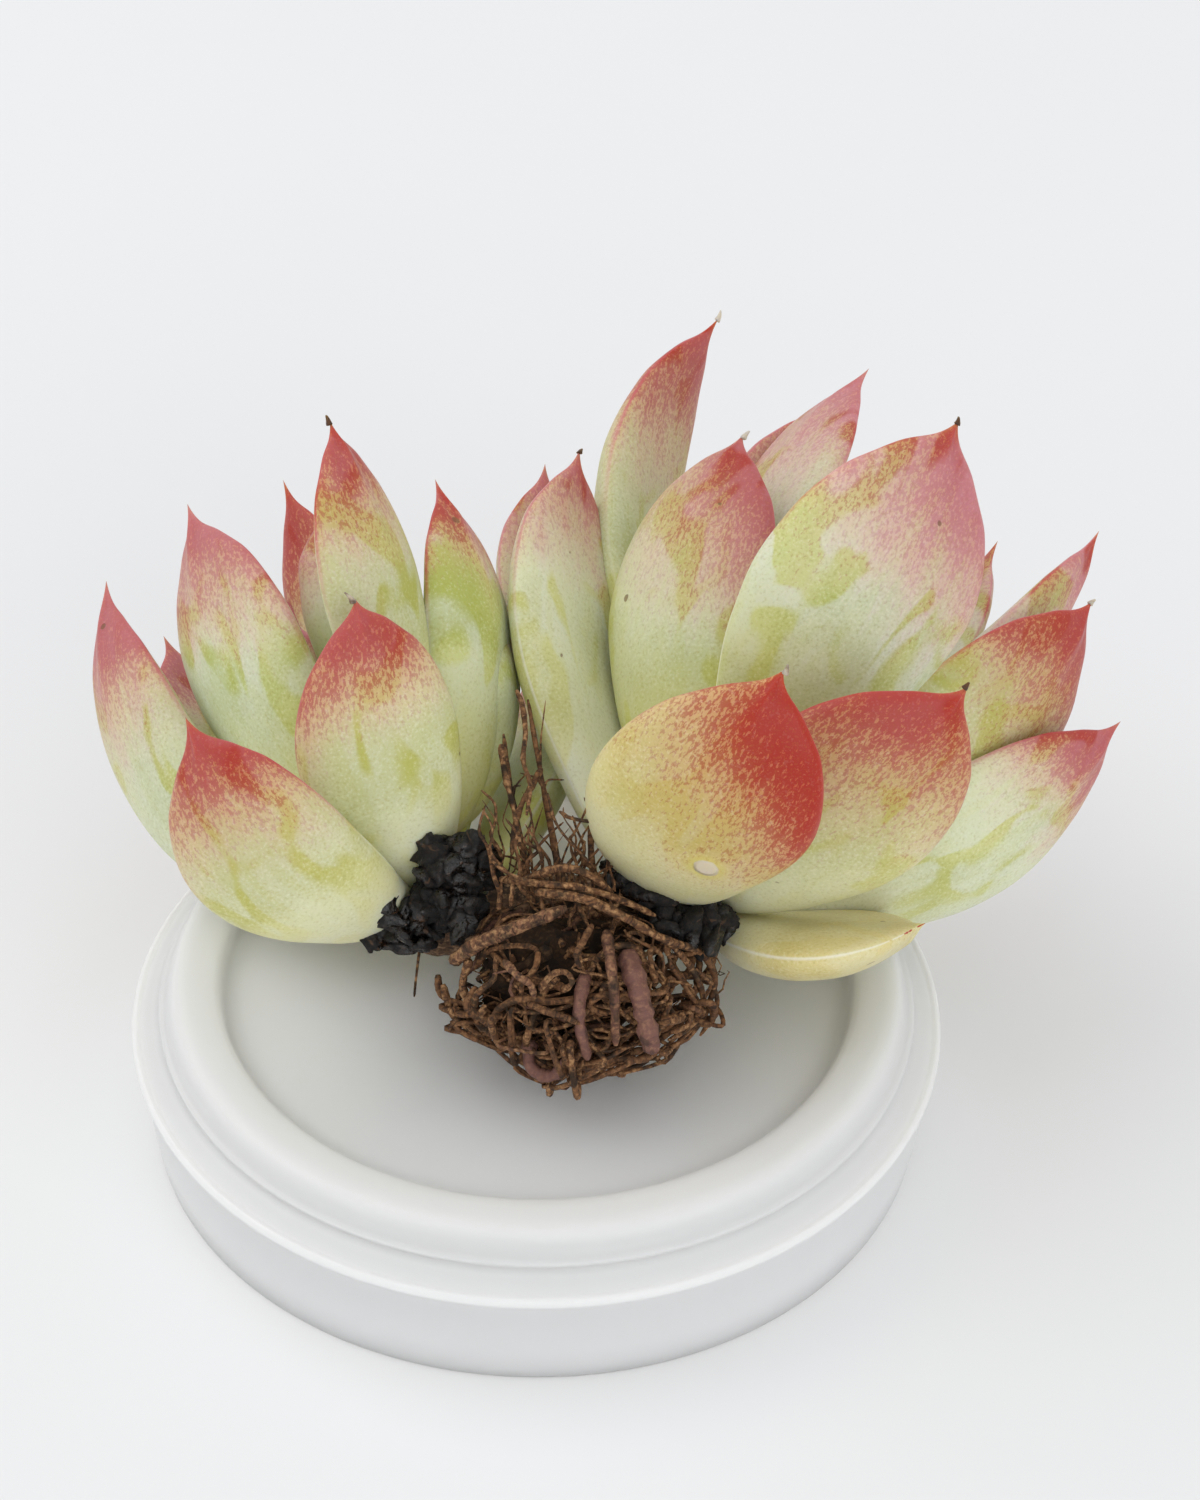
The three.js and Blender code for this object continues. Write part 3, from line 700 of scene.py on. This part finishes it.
def footed(t, foot):
    """The width's share once the leaf's base is broadened by that much."""
    broad = pointed(t)
    if broad < FOOT_SHARE:
        broad += (FOOT_SHARE - broad) * foot * (1 - ease(t, 0.02, 0.5)) * ease(t, 0, 0.05)
    return broad


def point_way(upward, inner, tangent):
    """The way that a leaf's point grows: on along the leaf, turned up towards the head's axis."""
    return (0.5 * upward - tangent - 0.1 * inner).normalized()


def thickness_share(t):
    """How much of its full thickness a leaf has at a share t of the way to its tip."""
    return math.sin(math.pi * t ** 0.9) ** 0.55 if 0 < t < 1 else 0.0


def leaf_layers(bm):
    """What each vertex of a leaf carries for its skin: its place on the leaf, its look and its scar."""
    names = ("leaf_share", "leaf_place", "leaf_look", "leaf_more", "leaf_glow", "scar_offset")
    return [bm.verts.layers.float_vector.new(name) for name in names]


def make_leaf(name, head, leaf, rng):
    arc = leaf_arc(head, leaf)
    length, width = leaf[3], leaf[4]
    seed = rng.random()
    drift = rng.uniform(-0.5, 0.5)
    offset = Vector((rng.uniform(-50, 50), rng.uniform(-50, 50), rng.uniform(-50, 50)))
    look = dict(PLAIN_LOOK, tilt=rng.uniform(-0.06, 0.06))
    # How strongly the base carries the painted glow: strong on leaves set higher on the stem and on those
    # without a look of their own.
    look["glow"] = 0.8 if leaf[2] >= 7 or name not in LOOKS else 0.2
    look.update(LOOKS.get(name, {}))
    upward = Vector(head["axis"]).normalized()
    bm = bmesh.new()
    share_layer, place_layer, look_layer, more_layer, glow_layer, scar_layer = leaf_layers(bm)
    bmesh.ops.create_uvsphere(bm, u_segments=LEAF_SECTIONS, v_segments=LEAF_RINGS, radius=1)
    for vertex in bm.verts:
        t = min(1.0, max(0.0, (1 - vertex.co.z) / 2))
        ring = math.hypot(vertex.co.x, vertex.co.y)
        cos = vertex.co.x / ring if ring > 1e-6 else 0.0
        sin = vertex.co.y / ring if ring > 1e-6 else 0.0
        centre, inner, level, tangent = arc(t)
        outer = sin < 0
        near = max(0.0, 1 - (1 - t) / POINT_SHARE)
        slim = 1 - 0.72 * near ** 0.8
        plump = LEAF_THICKNESS * (OUTER_SHARE if outer else 1 - OUTER_SHARE) * thickness_share(t)
        plump = plump * (1 - 0.30 * ease(t, 0.62, 1.0)) * slim
        wide = width / 2 * footed(t, look["foot"]) * slim * cos
        thick = plump * abs(sin) ** (0.92 if outer else 1.25) * (-1 if outer else 1)
        if outer:
            ridge = RIDGE_HEIGHT * math.exp(-(cos / 0.18) ** 2)
            thick -= ridge * ease(t, 0.5, 0.85) * (1 - ease(t, 0.95, 1.0))
        else:
            thick -= 0.25 * plump * math.exp(-(cos / 0.5) ** 2) * ease(t, 0.1, 0.5) * (1 - ease(t, 0.8, 1.0))
        spot = centre + level * (wide + drift * math.sin(2.2 * math.pi * t)) + inner * thick
        spot = spot + level * look["shift"] * t * t * t
        spot = spot + point_way(upward, inner, tangent) * look["cusp"] * near ** 1.5
        swell = noise.noise(spot / 9 + offset) * 0.30 + noise.noise(spot / 4 + offset) * 0.10
        spot = spot + (level * cos + inner * sin) * swell * min(1, 4 * t) * min(1, 8 * (1 - t))
        vertex[share_layer] = Vector((t + look["tilt"] * cos * ease(t, 0.2, 0.6), cos, sin))
        vertex[place_layer] = Vector((wide, length * t, thick))
        vertex[look_layer] = Vector((look["blush"] * 1.12, look["bloom"], look["age"]))
        withered = ease(t, 0.990, 0.9995) * (0.9 if look["dry"] else 0.45)
        vertex[more_layer] = Vector((seed, withered, look["pale"]))
        vertex[glow_layer] = Vector((look["glow"], 0, 0))
        vertex[scar_layer] = Vector(NO_SCAR)
        vertex.co = in_plant(spot)
    if name in SCARS:
        share, degrees, radius = SCARS[name]
        turn = math.radians(degrees)
        centre, inner, level, tangent = arc(share)
        hub = centre + level * width / 2 * width_share(share) * math.cos(turn)
        hub = hub + inner * LEAF_THICKNESS * OUTER_SHARE * thickness_share(share) * math.sin(turn)
        for vertex in bm.verts:
            vertex[scar_layer] = ((vertex.co - PLANT_ORIGIN) / MM - hub) / radius
    if look["dry"]:
        dry_point(bm, arc, look, length, upward, rng)
    bmesh.ops.recalc_face_normals(bm, faces=bm.faces)
    return piece_from(bm, name + "_skin", LEAF_SKIN, "leaf_skin", name, levels=1)


def dry_point(bm, arc, look, length, upward, rng):
    """The short, bent, withered point on a leaf's tip."""
    tip = bmesh.new()
    layers = leaf_layers(tip)
    bmesh.ops.create_cone(
        tip, cap_ends=True, segments=10, radius1=0.40, radius2=0.10, depth=1.0,
        matrix=Matrix.Translation((0, 0, 0.5)),
    )
    upright = [edge for edge in tip.edges if abs(edge.verts[0].co.z - edge.verts[1].co.z) > 0.5]
    bmesh.ops.subdivide_edges(tip, edges=upright, cuts=4)
    centre, inner, level, tangent = arc(1.0)
    way = point_way(upward, inner, tangent)
    centre = centre + level * look["shift"] + way * (look["cusp"] - 0.45)
    size = look["dry"]
    twist = 3 * math.sin(size * 57.3)
    bend = level * rng.uniform(-0.6, 0.6) + inner * rng.uniform(-0.2, 0.7)
    for vertex in tip.verts:
        x, y, z = vertex.co
        lumpy = 1 + 0.25 * math.sin(7 * z + twist) * math.sin(5 * math.atan2(y, x))
        spot = centre + way * z * size * 1.2 + (level * x + inner * y) * lumpy + bend * size * z * z
        values = (
            (1.0, x, y), (x, length + z, y), (0.3, 0.2, 0.2), (0.5, 1.0, look["pale"]), (0, 0, 0), NO_SCAR,
        )
        for layer, value in zip(layers, values):
            vertex[layer] = Vector(value)
        vertex.co = in_plant(spot)
    add_bmesh(bm, tip)


def heart_leaves(count, first, lean, length, width):
    """The young leaves round the growing point, shorter towards the middle."""
    leaves = []
    for i in range(count):
        share = 1 - i / (count + 1)
        height = STEM_LENGTH - 1.5 + 1.5 * i / count
        broad = width * (0.4 + 0.6 * share)
        leaves.append((first + i * GOLDEN_ANGLE, lean * share, height, length * share, broad, 0))
    return leaves


def make_leaves():
    rng = random.Random(7)
    for side, head in HEADS.items():
        for index, leaf in enumerate(head["leaves"] + heart_leaves(*head["heart"])):
            make_leaf(f"{side}_leaf_{index + 1:02d}", head, leaf, rng)


# ---------------------------------------------------------------- roots


def wire(points, thickness):
    """A closed tube through the points, with a thickness for each, as a mesh."""
    curve = bpy.data.curves.new("wire", "CURVE")
    curve.dimensions = "3D"
    curve.bevel_depth = 1.0
    curve.bevel_resolution = ROOT_SIDES // 4 - 1
    curve.use_fill_caps = True
    spline = curve.splines.new("POLY")
    spline.points.add(len(points) - 1)
    for knot, point, thick in zip(spline.points, points, thickness):
        knot.co = (*point, 1)
        knot.radius = thick
    holder = bpy.data.objects.new("wire", curve)
    mesh = bpy.data.meshes.new_from_object(holder)
    bpy.data.objects.remove(holder)
    bpy.data.curves.remove(curve)
    return mesh


def add_root(bm, points, radius, rng, young=0.0, taper=0.6, knots=0.25):
    """Adds one root through the points, lumpy and thinner towards its end. Points are plant millimetres."""
    count = len(points)
    offset = Vector((rng.uniform(-90, 90), rng.uniform(-90, 90), 0))
    thick = []
    for i, point in enumerate(points):
        share = i / (count - 1)
        lump = 1 + knots * noise.noise(Vector((i * 0.55, 0, 0)) + offset)
        close = min(1.0, 0.5 + 10 * (1 - share)) * min(1.0, 0.6 + 10 * share)
        thick.append(radius * (1 - taper * share) * lump * close)
    mesh = wire([Vector(point) for point in points], thick)
    before = len(bm.verts)
    bm.from_mesh(mesh)
    bpy.data.meshes.remove(mesh)
    bm.verts.ensure_lookup_table()
    layer = bm.verts.layers.float_vector["root_look"]
    seed = rng.random()
    for i in range(before, len(bm.verts)):
        vertex = bm.verts[i]
        ring = min(count - 1, (i - before) // ROOT_SIDES)
        vertex[layer] = Vector((ring * 1.1, young, seed))
        vertex.co = in_plant(vertex.co)


def smooth_path(points, steps):
    """A Catmull-Rom path through the points."""
    points = [Vector(point) for point in points]
    padded = [2 * points[0] - points[1]] + points + [2 * points[-1] - points[-2]]
    path = []
    for i in range(1, len(padded) - 2):
        a, b, c, d = padded[i - 1:i + 3]
        for step in range(steps):
            t = step / steps
            path.append(0.5 * (
                2 * b + (c - a) * t + (2 * a - 5 * b + 4 * c - d) * t * t + (3 * b - a - 3 * c + d) * t ** 3
            ))
    path.append(points[-1])
    return path


def ball_point(spot, depth):
    """A place in the root ball: a direction from its middle and a share of the way out to its uneven skin."""
    uneven = 0.93 + 0.20 * noise.noise(spot * 1.6 + Vector((3, 8, 5)))
    reach = depth * uneven * (1 - 0.13 * ease(-spot.z, 0.0, 0.6))
    pinch = 1 - 0.34 * ease(-spot.z, -0.1, 0.8)
    shaped = Vector((spot.x * BALL_SIZE.x * pinch, spot.y * BALL_SIZE.y, spot.z * BALL_SIZE.z))
    return BALL_CENTRE + shaped * reach


def wander(rng, start, heading, steps, stride, turn, shell):
    """A path that wanders over the root ball at about one depth, bending a little at each step."""
    spot = Vector(start).normalized()
    heading = Vector(heading)
    depth = shell
    path = []
    spin = rng.uniform(-turn, turn)
    for _ in range(steps):
        spin = 0.66 * spin + rng.gauss(0, turn)
        heading = heading - spot * heading.dot(spot)
        heading.normalize()
        heading = Quaternion(spot, spin) @ heading
        spot = (spot + heading * stride / 11.0).normalized()
        depth = min(1.0, max(0.35, depth + rng.gauss(0, 0.05)))
        path.append(ball_point(spot, depth))
    return path


def random_point(rng, low, high):
    """A point between two corners, drawn one axis after another."""
    return Vector([rng.uniform(least, most) for least, most in zip(low, high)])


def add_strands(bm, rng):
    """The wiry strands all over the tangle."""
    for _ in range(105):
        start = random_point(rng, (-1, -1, -0.6), (1, 1, 1))
        heading = random_point(rng, (-1, -1, -1), (1, 1, 0.5))
        path = wander(rng, start, heading, rng.randint(9, 26), 1.2, 0.42, rng.uniform(0.5, 1.0))
        radius = 0.22 + 0.40 * rng.random() ** 1.3
        add_root(bm, smooth_path(path[::2], 3), radius, rng, young=rng.random() ** 5 * 0.7, knots=0.45)


def add_front_strands(bm, rng):
    """More strands over the tangle's front, where the soil inside would show."""
    for _ in range(46):
        start = random_point(rng, (-0.9, -1, -0.3), (0.9, -0.5, 0.9))
        heading = random_point(rng, (-1, -0.3, -1), (1, 0.3, 0.6))
        path = wander(rng, start, heading, rng.randint(6, 15), 1.1, 0.5, rng.uniform(0.72, 0.98))
        radius = rng.uniform(0.18, 0.48)
        add_root(bm, smooth_path(path[::2], 3), radius, rng, young=rng.random() ** 5 * 0.6, knots=0.45)


def add_inner_roots(bm, rng):
    """Thick, near-black roots deep inside."""
    for _ in range(30):
        start = random_point(rng, (-1, -1, -0.6), (1, 1, 1))
        heading = random_point(rng, (-1, -1, -1), (1, 1, 1))
        path = wander(rng, start, heading, rng.randint(7, 12), 1.6, 0.5, rng.uniform(0.25, 0.6))
        add_root(bm, smooth_path(path[::2], 3), rng.uniform(0.8, 1.3), rng, young=-1, knots=0.5)


def add_hairs(bm, rng):
    """The finest roots, curled close to the skin of the tangle."""
    for _ in range(60):
        start = random_point(rng, (-1, -1, -1), (1, 1, 1))
        heading = random_point(rng, (-1, -1, -1), (1, 1, 1))
        path = wander(rng, start, heading, rng.randint(5, 13), 0.9, 0.75, rng.uniform(0.85, 1.05))
        add_root(bm, path, rng.uniform(0.07, 0.15), rng)


def add_dark_core(bm):
    """A near-black lump that fills the middle of the tangle."""
    core = bmesh.new()
    layer = core.verts.layers.float_vector.new("root_look")
    bmesh.ops.create_icosphere(core, subdivisions=5, radius=1)
    for vertex in core.verts:
        way = vertex.co.normalized()
        rough = noise.noise(way * 2.5) + 0.6 * noise.noise(way * 6) + 0.4 * noise.noise(way * 14)
        vertex.co = in_plant(ball_point(way, 0.60 + 0.12 * rough) + Vector((-2.2, 0.5, 1.2)))
        vertex[layer] = Vector((0, -1, 0))
    add_bmesh(bm, core)


def add_loops(bm, rng):
    """Strands that stand off the tangle in a loop."""
    for _ in range(34):
        turn = rng.uniform(-1.2, 1.9)
        low = rng.uniform(-0.75, 0.15)
        first = Vector((math.sin(turn), -abs(math.cos(turn)), low)).normalized()
        way = random_point(rng, (-0.7, -0.4, -0.8), (0.7, 0.4, 0.8))
        last = (first + way * 0.55).normalized()
        side = way.normalized() * 1.2
        out = rng.uniform(1.02, 1.14)
        loop = [
            ball_point(first, 0.8), ball_point(first, out) - side,
            ball_point(last, out) + side, ball_point(last, 0.8),
        ]
        radius = rng.uniform(0.20, 0.42)
        add_root(bm, smooth_path(loop, 6), radius, rng, young=rng.random() ** 4 * 0.5, taper=0.3)


def add_climbing_roots(bm, rng):
    """Fine roots that climb from the top of the tangle between the two heads."""
    for _ in range(34):
        foot = random_point(rng, (-6, -12, 18), (8, -7, 22))
        lift = random_point(rng, (-3, 2, 3), (3, 6, 8))
        path = [foot]
        for step in range(1, 6):
            sway = random_point(rng, (-0.8, -0.5, -0.5), (0.8, 0.5, 0.5))
            path.append(foot + lift * step / 5 + sway)
        add_root(bm, smooth_path(path, 4), rng.uniform(0.10, 0.30), rng, knots=0.5)


def make_root_ball():
    rng = random.Random(11)
    bm = bmesh.new()
    bm.verts.layers.float_vector.new("root_look")
    add_strands(bm, rng)
    add_front_strands(bm, rng)
    add_inner_roots(bm, rng)
    add_hairs(bm, rng)
    add_dark_core(bm)
    add_loops(bm, rng)
    for points, radius, young in FEATURE_ROOTS:
        add_root(bm, smooth_path(points, 6), radius, rng, young=young, taper=0.25, knots=0.35)
    add_climbing_roots(bm, rng)
    return piece_from(bm, "root_tangle", ROOT_BARK, "root_bark", "root_ball")


def make_loose_roots():
    rng = random.Random(23)
    for index, points in enumerate(LOOSE_ROOTS):
        bm = bmesh.new()
        bm.verts.layers.float_vector.new("root_look")
        path = smooth_path(points, 7)
        add_root(bm, path, 0.42, rng, taper=0.55, knots=0.5)
        for _ in range(5):
            at = rng.randint(3, len(path) - 4)
            way = (path[at + 2] - path[at]).normalized()
            off = Vector((rng.uniform(-1, 1), rng.uniform(-0.4, 0.4), rng.uniform(-0.6, 1))).normalized()
            size = rng.uniform(2.0, 5.0)
            bend = path[at] + way * size * 0.4 + off * size * 0.3
            end = path[at] + way * size * 0.6 + off * size
            twig = [path[at], bend, end]
            add_root(bm, smooth_path(twig, 5), rng.uniform(0.13, 0.22), rng, knots=0.5)
        piece_from(bm, f"loose_rootlets_{index + 1}", ROOT_BARK, "root_bark", f"loose_root_{index + 1}")


# ---------------------------------------------------------------- stem, peat


def reworked_copy(node, voxel, rough, size, rounds):
    """A copy of a CAD node with an even fine skin, smoothed, then roughened by lumps of about that size."""
    bm = bmesh.new()
    bm.from_mesh(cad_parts[node].data)
    bmesh.ops.remove_doubles(bm, verts=bm.verts, dist=0.002 * MM)
    mesh = bpy.data.meshes.new(node + "_copy")
    bm.to_mesh(mesh)
    bm.free()
    holder = bpy.data.objects.new(node + "_copy", mesh)
    bpy.context.scene.collection.objects.link(holder)
    even = holder.modifiers.new("even", "REMESH")
    even.mode = "VOXEL"
    even.voxel_size = voxel * MM
    soft = holder.modifiers.new("soft", "SMOOTH")
    soft.iterations = rounds
    bpy.context.view_layer.update()
    shaped = bpy.data.meshes.new_from_object(holder.evaluated_get(bpy.context.evaluated_depsgraph_get()))
    bpy.data.objects.remove(holder)
    bpy.data.meshes.remove(mesh)
    bm = bmesh.new()
    bm.from_mesh(shaped)
    bpy.data.meshes.remove(shaped)
    bm.normal_update()
    moves = []
    for vertex in bm.verts:
        spot = vertex.co / MM
        lump = noise.noise(spot / size)
        lump = lump + 0.5 * noise.noise(spot / size * 2.3) + 0.25 * noise.noise(spot / size * 5)
        moves.append(vertex.normal * lump * rough * MM)
    for vertex, move in zip(bm.verts, moves):
        vertex.co = vertex.co + move
    return bm


def make_stem():
    bm = reworked_copy("stem", 0.5, 0.25, 1.6, 6)
    layer = bm.verts.layers.float_vector.new("root_look")
    for vertex in bm.verts:
        vertex[layer] = Vector((vertex.co.z / MM * 0.8, 0.3, 0.4))
    return piece_from(bm, "woody_stem", STEM_BARK, "stem_bark", "stem")


# Where the peat clings: the middle of each lump of crumbs, how far it spreads, and how many crumbs it has.
CRUMB_HEAPS = {
    1: [
        ((-13.5, -7.5, 15.0), (2.6, 1.8, 1.6), 26), ((-10.5, -7.5, 17.5), (3.0, 2.0, 2.0), 34),
        ((-8.5, -6.0, 20.5), (2.2, 1.8, 2.4), 30), ((-6.5, -5.0, 22.4), (1.5, 1.2, 1.4), 12),
    ],
    2: [((14.5, -9.0, 16.5), (2.6, 1.8, 1.8), 26), ((10.0, -7.0, 20.0), (3.0, 1.8, 1.6), 26)],
}


def make_crumb(spot, rng):
    """One jagged crumb of peat, about 1 to 5 mm long."""
    crumb = bmesh.new()
    bmesh.ops.create_icosphere(crumb, subdivisions=3, radius=1)
    size = random_point(rng, (0.5, 0.6, 0.4), (2.6, 1.5, 1.4))
    turn = Quaternion(random_point(rng, (-1, -1, -1), (1, 1, 1)), rng.uniform(0, 3))
    shift = random_point(rng, (-9, -9), (9, 9)).to_3d()
    for vertex in crumb.verts:
        coarse = noise.noise(vertex.co * 1.3 + shift)
        fine = noise.noise(vertex.co * 4 + shift)
        vertex.co = in_plant(spot + turn @ (vertex.co * size * (1 + 0.55 * coarse + 0.22 * fine)))
    return crumb


def make_peat():
    rng = random.Random(31)
    for index, heaps in CRUMB_HEAPS.items():
        bm = reworked_copy(f"peat_crumb_{index}", 0.35, 1.1, 2.2, 1)
        for middle, spread, count in heaps:
            for _ in range(count):
                spot = Vector([rng.gauss(at, 0.6 * wide) for at, wide in zip(middle, spread)])
                add_bmesh(bm, make_crumb(spot, rng))
        piece_from(bm, f"peat_clod_{index}", PEAT, "peat", f"peat_crumb_{index}")


# ---------------------------------------------------------------- stage, light and camera


def make_stage():
    paper = Shader("paper", Specular_IOR_Level=0.1, Roughness=0.9)
    here = paper.place()
    tone = paper.mix(paper.grain(here, 14, detail=3), (0.785, 0.787, 0.79), (0.805, 0.805, 0.807))
    paper.finish(Base_Color=tone)
    bm = bmesh.new()
    bmesh.ops.create_grid(bm, x_segments=2, y_segments=2, size=3.0)
    mesh = bpy.data.meshes.new("table_top")
    bm.to_mesh(mesh)
    bm.free()
    mesh.materials.append(paper.material)
    top = bpy.data.objects.new("table_top", mesh)
    bpy.context.scene.collection.objects.link(top)


def add_light(name, place, aim, size, power, colour):
    lamp = bpy.data.lights.new(name, "AREA")
    lamp.shape = "RECTANGLE"
    lamp.size, lamp.size_y = size
    lamp.energy = power
    lamp.color = colour
    holder = bpy.data.objects.new(name, lamp)
    bpy.context.scene.collection.objects.link(holder)
    holder.location = place
    holder.rotation_euler = (Vector(aim) - Vector(place)).to_track_quat("-Z", "Y").to_euler()


def make_lights():
    world = bpy.data.worlds.new("soft_room")
    bpy.context.scene.world = world
    world.use_nodes = True
    air = world.node_tree.nodes["Background"]
    air.inputs["Color"].default_value = (0.95, 0.965, 0.985, 1)
    air.inputs["Strength"].default_value = 0.90
    add_light("window", (-0.75, 0.25, 0.95), (0, 0, 0.03), (1.1, 1.1), 4.0, (1.0, 0.99, 0.97))
    add_light("room_fill", (0.40, -0.85, 0.45), (0, 0, 0.03), (0.9, 0.6), 2.2, (1.0, 1.0, 1.0))


def make_camera():
    spot = DISH_CENTRE + Vector((-0.4121, -304.7873, 290.5727)) * MM
    pitch, yaw, roll = 0.6748, 0.0207, 0.0218
    ahead = Vector((math.sin(yaw) * math.cos(pitch), math.cos(yaw) * math.cos(pitch), -math.sin(pitch)))
    right = ahead.cross(Vector((0, 0, 1))).normalized()
    up = right.cross(ahead)
    level_right = right * math.cos(roll) + up * math.sin(roll)
    level_up = up * math.cos(roll) - right * math.sin(roll)
    camera = bpy.data.cameras.new("camera")
    camera.lens = 96
    camera.sensor_width = 36
    camera.clip_start = 0.01
    holder = bpy.data.objects.new("camera", camera)
    bpy.context.scene.collection.objects.link(holder)
    turn = Matrix((level_right, level_up, -ahead)).transposed()
    holder.matrix_world = Matrix.Translation(spot) @ turn.to_4x4()
    bpy.context.scene.camera = holder


bpy.context.scene.view_settings.view_transform = "Standard"
make_camera()
make_lights()
make_stage()
make_dish()
make_leaves()
make_stem()
make_root_ball()
make_loose_roots()
make_peat()
